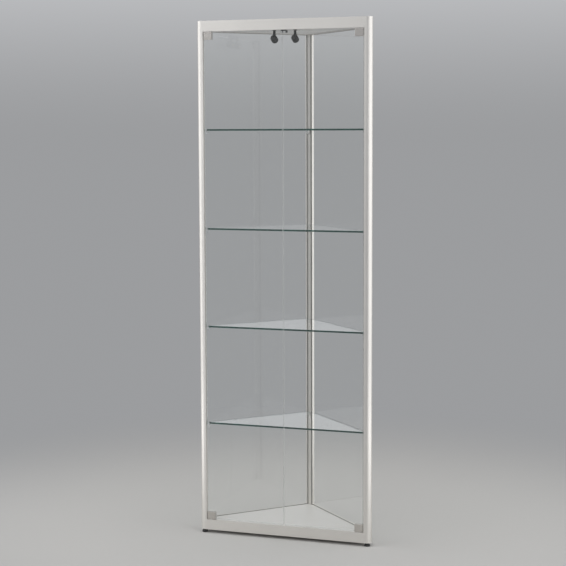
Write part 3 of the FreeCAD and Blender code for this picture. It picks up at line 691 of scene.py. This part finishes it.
class CABINET_OT_rails(bpy.types.Operator):
    """Finish the six rails, their keys and screws"""

    bl_idname = "cabinet.rails"
    bl_label = "Rails"

    def execute(self, context):
        finishes = context.scene.cabinet_finishes
        tint = finishes.aluminium
        turns = {"front": 0.0, "left": math.pi / 4, "right": -math.pi / 4}
        for place, turn in turns.items():
            names = [f"top_{place}_rail", f"bottom_{place}_rail"]
            paint(aluminium(f"satin_{place}_rails", tint, (0.0, 0.0, turn)), *names)
            soften(names, context.scene.cabinet_frame.edge_radius)
        soften(["post_plugs", "door_bushes", "key_screws"], SMALL_EDGE)
        paint(aluminium("satin_keys", tint, (0.0, 0.0, 0.0)), "frame_keys")
        paint(steel("screw_steel", finishes.steel), "key_screws")
        nylon = coated("moulded_nylon", finishes.nylon, grain=900.0, rough=(0.4, 0.55), depth=0.00005)
        paint(nylon, "post_plugs", "door_bushes")
        return {"FINISHED"}


class CABINET_OT_panels(bpy.types.Operator):
    """Finish the floor, the ceiling and the top cover"""

    bl_idname = "cabinet.panels"
    bl_label = "Panels"

    def execute(self, context):
        white = coated("white_laminate", context.scene.cabinet_finishes.panel, grain=700.0,
                       rough=(0.34, 0.46), depth=0.00006, variation=0.02)
        panels = ["floor_panel", "ceiling_panel", "top_cover"]
        paint(white, *panels)
        soften(panels, context.scene.cabinet_frame.edge_radius)
        return {"FINISHED"}


class CABINET_OT_side_glass(bpy.types.Operator):
    """Make the two side panes and finish their seals"""

    bl_idname = "cabinet.side_glass"
    bl_label = "Side glass"

    def execute(self, context):
        finishes = context.scene.cabinet_finishes
        sizes, glazing = context.scene.cabinet_frame, context.scene.cabinet_glass
        side = side_places(sizes)
        hold = sizes.groove_depth - glazing.edge_gap
        start, end = side["post_face"] - hold, side["inner"] + hold
        low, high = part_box("right_side_glass")
        corners = np.array([(start, low.z), (end, low.z), (end, high.z), (start, high.z)])
        inside = side["glass"] - glazing.pane_thickness / 2

        def beside(along, z, out):
            """Points of the pane by their place in its plane and how far through it they are."""
            plan = on_side(inside + out, along)
            return upright(plan[:, 0], plan[:, 1], z)

        pane = slab(corners, beside, glazing.pane_thickness, glazing.arris)
        looks = [glass("side_glass", finishes.glass), glass_edge("side_glass_edge", finishes.door_edge)]
        piece("right_side_pane", [pane], looks, "right_side_glass")
        piece("left_side_pane", [mirrored(pane)], looks, "left_side_glass")
        seal = coated("grey_seal", finishes.seal, grain=600.0, rough=(0.55, 0.7), depth=0.0001)
        paint(seal, "glass_seals")
        return {"FINISHED"}


class CABINET_OT_shelves(bpy.types.Operator):
    """Make the glass shelves and finish their clips and pads"""

    bl_idname = "cabinet.shelves"
    bl_label = "Shelves"

    def execute(self, context):
        finishes = context.scene.cabinet_finishes
        sizes, glazing = context.scene.cabinet_frame, context.scene.cabinet_glass
        # The shelf edge finish is darkened with painted shade.
        looks = [glass("shelf_glass", finishes.glass), glass_edge("shelf_glass_edge", finishes.shelf_edge_painted_shade)]
        shelves = sorted(name for name in nodes if name.startswith("glass_shelf_"))
        for name in shelves:
            low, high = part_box(name)
            corners = shelf_corners(sizes, glazing, low, high)
            level = slab(corners, upright_from(low.z), high.z - low.z, glazing.arris)
            piece(name.replace("glass_shelf", "shelf_pane"), [level], looks, name)
        paint(plated("clip_plating", finishes.clip, rough=(0.2, 0.3)), "shelf_clips")
        soften(["shelf_clips", "shelf_pads"], SMALL_EDGE)
        paint(translucent_pad("shelf_pad", finishes.pad), "shelf_pads")
        return {"FINISHED"}


def upright_from(bottom):
    """Places plan outlines at heights above a level."""
    return lambda x, depth, w: upright(x, depth, bottom + w)


def shelf_corners(sizes, glazing, low, high):
    """Shelf in plan: front edge, tips cut square to the side glass, sides, and a cut back corner."""
    side = side_places(sizes)
    reach = (side["glass"] - glazing.pane_thickness / 2 - glazing.shelf_gap) / CORNER_SHARE
    front, back = low.y - FRONT_Y, high.y - FRONT_Y
    tip_depth = reach - high.x
    right = np.array([(high.x - (tip_depth - front), front), (high.x, tip_depth), (reach - back, back)])
    return np.concatenate([right, (right * (-1, 1))[::-1]])


class CABINET_OT_doors(bpy.types.Operator):
    """Make the two glass doors and finish their strike plates"""

    bl_idname = "cabinet.doors"
    bl_label = "Doors"

    def execute(self, context):
        finishes = context.scene.cabinet_finishes
        looks = [glass("door_glass", finishes.glass), glass_edge("door_glass_edge", finishes.door_edge)]
        for side in SIDES:
            low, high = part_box(f"{side}_door_glass")
            corners = np.array([(low.x, low.z), (high.x, low.z), (high.x, high.z), (low.x, high.z)])
            pane = slab(corners, lambda x, z, w: np.stack([x, low.y + w, z], -1), high.y - low.y,
                        context.scene.cabinet_glass.arris)
            piece(f"{side}_door_pane", [pane], looks, f"{side}_door_glass")
        plates = [f"{side}_strike_plate" for side in SIDES]
        paint(steel("strike_steel", finishes.steel), *plates)
        soften(plates, SMALL_EDGE)
        return {"FINISHED"}


class CABINET_OT_hinges(bpy.types.Operator):
    """Make the hinge bodies and finish their pins, pads and screws"""

    bl_idname = "cabinet.hinges"
    bl_label = "Hinges"

    def execute(self, context):
        finishes, sizes = context.scene.cabinet_finishes, context.scene.cabinet_hinges
        satin = plated("hinge_plating", finishes.plate, rough=(0.22, 0.28))
        low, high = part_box("right_hinge_bodies")
        clamp = extruded([hinge_loop(sizes, low, high)], lambda y, z, x: np.stack([x, y, z], -1),
                         low.x, high.x)
        pair = [clamp, flipped(clamp)]
        made = [
            piece("right_hinge_clamps", pair, [satin], "right_hinge_bodies"),
            piece("left_hinge_clamps", [mirrored(s) for s in pair], [satin], "left_hinge_bodies"),
        ]
        for hinge in made:
            round_edges(hinge, sizes.bevel, sizes.bevel_steps)
        dull = steel("hinge_steel", finishes.steel)
        clear = translucent_pad("hinge_pad", finishes.pad)
        for side in SIDES:
            turned_steel = [f"{side}_hinge_pins", f"{side}_hinge_screws"]
            paint(dull, *turned_steel)
            soften(turned_steel, SMALL_EDGE)
            paint(clear, f"{side}_hinge_pads")
        return {"FINISHED"}


def hinge_loop(sizes, low, high):
    """Upper hinge seen from its side: two plates joined by a web over the glass."""
    slot_front, slot_back = low.y + sizes.front_plate, high.y - sizes.back_plate
    web = high.z - sizes.web
    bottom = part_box("right_door_glass")[1].z - sizes.height
    return np.array([(low.y, bottom), (slot_front, bottom), (slot_front, web), (slot_back, web),
                     (slot_back, bottom), (high.y, bottom), (high.y, high.z), (low.y, high.z)])


class CABINET_OT_latch(bpy.types.Operator):
    """Make the springs of the push latch and finish its other pieces"""

    bl_idname = "cabinet.latch"
    bl_label = "Latch"

    def execute(self, context):
        finishes = context.scene.cabinet_finishes
        black = coated("latch_plastic", finishes.moulding, grain=900.0, rough=(0.38, 0.52), depth=0.00005)
        moulded = ["latch_body", *[f"{side}_latch_plunger" for side in SIDES]]
        paint(black, *moulded)
        soften(moulded, SMALL_EDGE)
        right = coil(context.scene.cabinet_latch)
        piece("latch_coils", [right, mirrored(right)], [steel("spring_steel", finishes.steel)],
              "latch_springs")
        return {"FINISHED"}


def coil(sizes):
    """Right spring. Its middle line is (radius cos a, radius sin a) about the plunger's axis while
    the depth grows evenly with a, and its wire is drawn about that line."""
    low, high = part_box("latch_springs")
    outer, wire = (high.z - low.z) / 2, sizes.wire / 2
    radius = outer - wire
    turn = np.linspace(0.0, sizes.turns, sizes.turns * SPRING_ROWS)
    angle = 2 * math.pi * turn
    start, end = low.y + wire, high.y - wire
    outward = np.stack([np.cos(angle), 0 * angle, np.sin(angle)], -1)
    middle = (high.x - outer, 0.0, (low.z + high.z) / 2) + radius * outward
    middle[:, 1] = start + (end - start) * turn / sizes.turns
    rise = (end - start) / (2 * math.pi * sizes.turns)
    forward = np.stack([-radius * np.sin(angle), rise + 0 * angle, radius * np.cos(angle)], -1)
    sideways = np.cross(forward, outward) / math.hypot(radius, rise)
    return tube(middle, outward, sideways, wire)


class CABINET_OT_spotlights(bpy.types.Operator):
    """Make the bezels, lenses and boards of the two spotlights and finish their other pieces"""

    bl_idname = "cabinet.spotlights"
    bl_label = "Spotlights"

    def execute(self, context):
        finishes, sizes = context.scene.cabinet_finishes, context.scene.cabinet_lamps
        black = coated("black_powder", finishes.powder, grain=1400.0, rough=(0.36, 0.5), depth=0.00004)
        clear = lamp_lens("clear_lens", finishes.lens_dark, finishes.lens_light)
        phosphor = (finishes.phosphor_dark, finishes.phosphor_light, finishes.lamp)
        # The board glows with painted light; only the dome is the lamp.
        lit = [lit_phosphor("lit_board", *phosphor, sizes.painted_board_glow),
               lit_phosphor("lit_dome", *phosphor, sizes.dome_light)]
        paint(black, "spot_bases", "spot_nuts")
        soften(["spot_bases", "spot_nuts"], SMALL_EDGE)
        for side in SIDES:
            kept = [f"{side}_spot_stem", f"{side}_spot_housing"]
            paint(black, *kept)
            soften(kept, SMALL_EDGE)
            made = [in_head(shell, sizes, side) for shell in (bezel(sizes), lens(sizes), board(sizes))]
            piece(f"{side}_lamp_bezel", made[:1], [black], f"{side}_spot_bezel")
            piece(f"{side}_lamp_lens", made[1:2], [clear], f"{side}_spot_lens")
            piece(f"{side}_lamp_board", made[2:], lit, f"{side}_spot_led")
        return {"FINISHED"}


def in_head(shell, sizes, side):
    """Round shell put in a lamp head: its axis runs to the back, below the pivot, and is then
    turned down about the pivot by the tilt."""
    points, blocks = shell
    pivot = next(j["pos_m"] for j in frame["joints"] if j["name"] == f"{side}_spot_tilt")
    across, up, along = points.T
    up = up - sizes.drop
    cosine, sine = math.cos(sizes.tilt), math.sin(sizes.tilt)
    tilted = np.stack([across, along * cosine + up * sine, up * cosine - along * sine], -1)
    return tilted + pivot, blocks


def bezel(sizes):
    """Ring with a rolled outer edge and a face that slopes in to the opening."""
    front = sizes.barrel + sizes.bezel_depth
    roll = arc((sizes.bezel_radius - sizes.bezel_roll, front - sizes.bezel_roll), sizes.bezel_roll,
               0.0, math.pi / 2, CORNER_STEPS)
    crest = sizes.bezel_radius - 2 * sizes.bezel_roll
    inner = [(crest, front), (sizes.bezel_opening, front - sizes.bezel_depth / 2),
             (sizes.bezel_opening, sizes.barrel)]
    return lathe([(sizes.bezel_radius, sizes.barrel), *roll, *inner], ring=True)


def lens(sizes):
    """Lens whose front is a shallow parabola of the radius with a ripple, a cosine of the radius
    over the pitch, on it."""
    radius = np.linspace(sizes.bezel_opening, sizes.ripple_pitch * LENS_MIDDLE_SHARE, LENS_ROWS)
    bulge = sizes.bulge * (1 - (radius / sizes.bezel_opening) ** 2)
    ripple = sizes.ripple * (np.cos(2 * math.pi * radius / sizes.ripple_pitch) - 1) / 2
    dome = np.stack([radius, sizes.barrel + bulge + ripple], -1)
    rim = [(sizes.recess_radius, sizes.barrel - sizes.lens), (sizes.recess_radius, sizes.barrel)]
    return lathe(np.concatenate([rim, dome]))


def board(sizes):
    """Round board with a dome, the quarter of an ellipse turned about the axis, on its middle.
    The board's rim, front and back take finish 0, and the dome finish 1."""
    back = sizes.barrel - sizes.recess
    top = back + sizes.board
    angle = np.linspace(0.0, math.pi / 2, DOME_STEPS + 1)[:-1]
    dome = np.stack([sizes.dome_radius * np.cos(angle), top + sizes.dome_height * np.sin(angle)], -1)
    rim = [(sizes.recess_radius, back), (sizes.recess_radius, top)]
    points, blocks = lathe(np.concatenate([rim, dome]))
    (sides, _), (under, _), (tip, _) = blocks
    flat = len(rim) * LAMP_STEPS
    return points, [(sides[:flat], 0), (sides[flat:], 1), (under, 0), (tip, 1)]


class CABINET_OT_supply(bpy.types.Operator):
    """Make the lamps' supply box and finish the leads and the cable gland"""

    bl_idname = "cabinet.supply"
    bl_label = "Lamp supply"

    def execute(self, context):
        finishes = context.scene.cabinet_finishes
        white = coated("supply_plastic", finishes.housing, grain=800.0, rough=(0.35, 0.5), depth=0.00006,
                       variation=0.03)
        piece("supply_box", [supply_shell(context.scene.cabinet_supply)], [white], "lamp_driver")
        black = coated("lead_plastic", finishes.moulding, grain=700.0, rough=(0.4, 0.55), depth=0.00004)
        paint(black, "lamp_leads", "cable_gland")
        soften(["cable_gland"], SMALL_EDGE)
        return {"FINISHED"}


def supply_shell(sizes):
    """Box of level outlines, rectangles with round corners. They step in at the lid's seam and
    follow a quarter circle over the upper edge."""
    low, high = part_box("lamp_driver")
    angle = np.linspace(0.0, math.pi / 2, EDGE_STEPS + 1)
    seam, lid = low.z + sizes.seam_height, low.z + sizes.seam_height + sizes.seam_width
    step = sizes.seam_depth
    insets = [0.0, 0.0, step, step, 0.0, *(sizes.edge * (1 - np.cos(angle)))]
    heights = [low.z, seam, seam, lid, lid, *(high.z - sizes.edge * (1 - np.sin(angle)))]
    outlines = [rounded_outline(low, high, sizes.corner, distance) for distance in insets]
    return closed([np.column_stack([o, np.full(len(o), z)]) for o, z in zip(outlines, heights)])


def rounded_outline(low, high, corner, distance):
    """Rectangle with round corners, moved in: four arcs about fixed centres, with the radius
    less the distance."""
    right, left = high.x - corner, low.x + corner
    back, front = high.y - corner, low.y + corner
    centres = [(right, back), (left, back), (left, front), (right, front)]
    starts = np.arange(len(centres)) * math.pi / 2
    arcs = [arc(centre, corner - distance, start, start + math.pi / 2, CORNER_STEPS)
            for centre, start in zip(centres, starts)]
    return np.concatenate(arcs)


class CABINET_OT_feet(bpy.types.Operator):
    """Make the levelling feet and finish their bushes"""

    bl_idname = "cabinet.feet"
    bl_label = "Feet"

    def execute(self, context):
        sizes, tint = context.scene.cabinet_feet, context.scene.cabinet_finishes.moulding
        black = coated("foot_plastic", tint, grain=800.0, rough=(0.42, 0.58), depth=0.00008)
        for name in ("front_left_foot", "front_right_foot", "back_foot"):
            piece(name.replace("foot", "leveller"), [foot_shell(sizes, name)], [black], name)
        paint(black, "foot_bushes")
        soften(["foot_bushes"], SMALL_EDGE)
        return {"FINISHED"}


def foot_shell(sizes, name):
    """Foot as one surface whose radius is a function of angle and height. A cosine of the angle
    ribs the pad's rim, the neck's radius is its half width over the cosine of the angle from the
    nearest flat, and the thread is a triangle wave of the height over the pitch less the angle
    over a full turn."""
    low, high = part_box(name)
    angle = np.arange(FOOT_STEPS) * 2 * math.pi / FOOT_STEPS
    pad, bevel = sizes.pad_height, sizes.pad_bevel
    pad_along = np.array([0.0, bevel, pad - bevel, pad])
    rim = (high.x - low.x) / 2 - np.array([bevel, 0.0, 0.0, bevel])
    ribs = sizes.rib_depth * (1 - np.cos(sizes.ribs * angle)) / 2
    ribbed = np.array([0.0, 1.0, 1.0, 0.0])[:, None]
    pad_radius = rim[:, None] - ribbed * ribs

    neck_top, edge = POST_BOTTOM - low.z - sizes.neck_gap, sizes.neck_bevel
    neck_along = np.array([pad, pad + edge, neck_top - edge, neck_top])
    sixth = math.pi / 3
    from_flat = (angle + sixth / 2) % sixth - sixth / 2
    narrowing = np.array([edge, 0.0, 0.0, edge])[:, None]
    neck_radius = sizes.neck_width / 2 / np.cos(from_flat) - narrowing

    stem = high.z - low.z - neck_top
    rows = round(stem / sizes.thread_pitch * THREAD_ROWS)
    stem_along = neck_top + np.linspace(0.0, stem, rows + 1)
    phase = (stem_along[:, None] / sizes.thread_pitch - angle / (2 * math.pi)) % 1
    thread = sizes.thread_depth * np.abs(2 * phase - 1)
    stem_radius = sizes.stem_diameter / 2 - thread

    radius = np.concatenate([pad_radius, neck_radius, stem_radius])
    points, blocks = turned(radius, np.concatenate([pad_along, neck_along, stem_along]))
    return points + ((low.x + high.x) / 2, (low.y + high.y) / 2, low.z), blocks


class CABINET_OT_stage(bpy.types.Operator):
    """Set up the floor, the backdrop, the lamps and the camera"""

    bl_idname = "cabinet.stage"
    bl_label = "Studio"

    def execute(self, context):
        settings = context.scene.cabinet_stage
        studio_floor(settings)
        backdrop(context.scene, settings)
        for name, lamp in LAMPS.items():
            soft_lamp(name, *lamp)
        for name, strip in STRIPS.items():
            soft_lamp(name, *strip).visible_diffuse = False
        place_camera(context.scene, settings)
        context.scene.view_settings.view_transform = "Standard"
        return {"FINISHED"}


# Place, target, size and power in watts of each soft light
LAMPS = {
    "left_softbox": ((-2.25, -0.9, 1.25), (0.0, -0.9, 1.25), (2.2, 2.4), 16.0),
    "right_softbox": ((2.3, -0.3, 1.25), (0.0, -0.3, 1.25), (3.8, 2.4), 26.0),
    "top_softbox": ((0.0, -0.4, 3.6), (0.0, 0.0, 0.9), (3.2, 2.6), 32.0),
    "front_softbox": ((-2.4, -3.4, 3.6), (0.0, 0.0, 0.9), (2.6, 1.8), 15.0),
    "low_softbox": ((-3.0, -4.5, 1.0), (0.0, 0.0, 0.9), (1.3, 2.0), 12.0),
}

# The same for low strips beside the cabinet that show only as a shine on its metal
STRIPS = {
    "left_strip": ((-1.0, -0.9, 0.18), (0.0, -0.9, 0.18), (1.4, 0.34), 1.35),
    "right_strip": ((1.1, -0.5, 0.18), (0.0, -0.5, 0.18), (1.6, 0.34), 1.3),
}


def studio_floor(settings):
    """Round matt pale floor in the plane of the feet, a disc that fades into the backdrop."""
    rim = arc((0.0, 0.0), settings.floor_radius, 0.0, 2 * math.pi, FLOOR_STEPS)[:-1]
    mesh = bpy.data.meshes.new("studio_floor")
    points = np.column_stack([rim, np.zeros(len(rim))])
    mesh.from_pydata(points.tolist(), [], [list(range(len(rim)))])
    made, tree = new_material("pale_floor")
    fine = pattern(tree, 60.0)
    laid = add(tree, "BsdfPrincipled", {
        "Base Color": blend(tree, fine, *shades(settings.floor, 0.985, 1.015)),
        "Specular IOR Level": 0.0,
    })
    place = add(tree, "TexCoord").outputs["Object"]
    away = add(tree, "VectorMath", {0: place}, operation="LENGTH").outputs["Value"]
    fade = add(tree, "MapRange", {0: away, 1: settings.fade_start, 2: settings.fade_end},
               interpolation_type="SMOOTHSTEP").outputs[0]
    glow = add(tree, "Emission", {"Color": (*settings.backdrop, 1.0)})
    mixed = add(tree, "MixShader", {0: fade, 1: laid.outputs[0], 2: glow.outputs[0]})
    add(tree, "OutputMaterial", {"Surface": mixed.outputs[0]})
    mesh.materials.append(made)
    new_object("studio_floor", mesh)


def backdrop(scene, settings):
    """Pale surround for what the camera sees, directly or in metal and glass, over softer light.
    It lightens smoothly from just below the camera's level to a little above it."""
    world = bpy.data.worlds.new("studio")
    world.use_nodes = True
    tree = world.node_tree
    tree.nodes.clear()
    path = add(tree, "LightPath")
    seen = path.outputs["Is Camera Ray"]
    for kind in ("Is Glossy Ray", "Is Transmission Ray"):
        seen = add(tree, "Math", {0: seen, 1: path.outputs[kind]}, operation="MAXIMUM").outputs[0]
    light = add(tree, "Background", {"Color": (1.0, 1.0, 1.0, 1.0), "Strength": settings.ambient})
    upward = add(tree, "SeparateXYZ", {0: add(tree, "TexCoord").outputs["Generated"]}).outputs["Z"]
    rise = add(tree, "MapRange", {0: upward, 1: settings.rise_start, 2: settings.rise_end, 3: 1.0,
                                  4: settings.backdrop_rise}, interpolation_type="SMOOTHSTEP").outputs[0]
    surround = add(tree, "Background", {"Color": (*settings.backdrop, 1.0), "Strength": rise})
    mixed = add(tree, "MixShader", {0: seen, 1: light.outputs[0], 2: surround.outputs[0]})
    add(tree, "OutputWorld", {"Surface": mixed.outputs[0]})
    scene.world = world


def soft_lamp(name, place, target, size, power):
    """Rectangular soft light turned to a target; gives its object."""
    light = bpy.data.lights.new(name, "AREA")
    light.shape = "RECTANGLE"
    light.size, light.size_y = size
    light.energy = power
    lamp = new_object(name, light)
    lamp.visible_camera = False
    lamp.visible_transmission = False
    lamp.location = place
    lamp.rotation_euler = (Vector(target) - Vector(place)).to_track_quat("-Z", "Y").to_euler()
    return lamp


def place_camera(scene, settings):
    """Camera by its place, its turn to the left, its downward tilt and its roll."""
    yaw, pitch, roll = settings.camera_yaw, settings.camera_pitch, settings.camera_roll
    forward = Vector((-math.sin(yaw) * math.cos(pitch), math.cos(yaw) * math.cos(pitch), -math.sin(pitch)))
    level = Vector((math.cos(yaw), math.sin(yaw), 0.0))
    up = level.cross(forward)
    across = level * math.cos(roll) + up * math.sin(roll)
    upward = up * math.cos(roll) - level * math.sin(roll)
    optics = bpy.data.cameras.new("studio_camera")
    optics.lens = settings.lens
    optics.sensor_width = FILM_WIDTH
    optics.shift_y = settings.shift
    camera = new_object("studio_camera", optics)
    aimed = Matrix((across, upward, -forward)).transposed().to_4x4()
    camera.matrix_world = Matrix.Translation(settings.camera_place) @ aimed
    scene.camera = camera


class CABINET_PT_sidebar(bpy.types.Panel):
    """Lists the cabinet's pieces in the order in which they are made"""

    bl_idname = "CABINET_PT_sidebar"
    bl_label = "Corner curio cabinet"
    bl_space_type = "VIEW_3D"
    bl_region_type = "UI"
    bl_category = "Cabinet"

    def draw(self, context):
        for operator in OPERATORS:
            self.layout.operator(operator.bl_idname)


GROUPS = {
    "cabinet_frame": FrameSizes,
    "cabinet_glass": GlassSizes,
    "cabinet_hinges": HingeSizes,
    "cabinet_latch": LatchSizes,
    "cabinet_lamps": LampSizes,
    "cabinet_supply": SupplySizes,
    "cabinet_feet": FootSizes,
    "cabinet_finishes": Finishes,
    "cabinet_stage": StageSettings,
}

OPERATORS = (
    CABINET_OT_posts,
    CABINET_OT_rails,
    CABINET_OT_panels,
    CABINET_OT_side_glass,
    CABINET_OT_shelves,
    CABINET_OT_doors,
    CABINET_OT_hinges,
    CABINET_OT_latch,
    CABINET_OT_spotlights,
    CABINET_OT_supply,
    CABINET_OT_feet,
    CABINET_OT_stage,
)


def register():
    for cls in (*GROUPS.values(), *OPERATORS, CABINET_PT_sidebar):
        bpy.utils.register_class(cls)
    for name, group in GROUPS.items():
        setattr(bpy.types.Scene, name, PointerProperty(type=group))


def unregister():
    for name in GROUPS:
        delattr(bpy.types.Scene, name)
    for cls in reversed((*GROUPS.values(), *OPERATORS, CABINET_PT_sidebar)):
        bpy.utils.unregister_class(cls)


def main():
    """Makes every piece in order."""
    register()
    for name in [operator.bl_idname for operator in OPERATORS]:
        group, action = name.split(".")
        getattr(getattr(bpy.ops, group), action)()


if __name__ == "__main__":
    main()
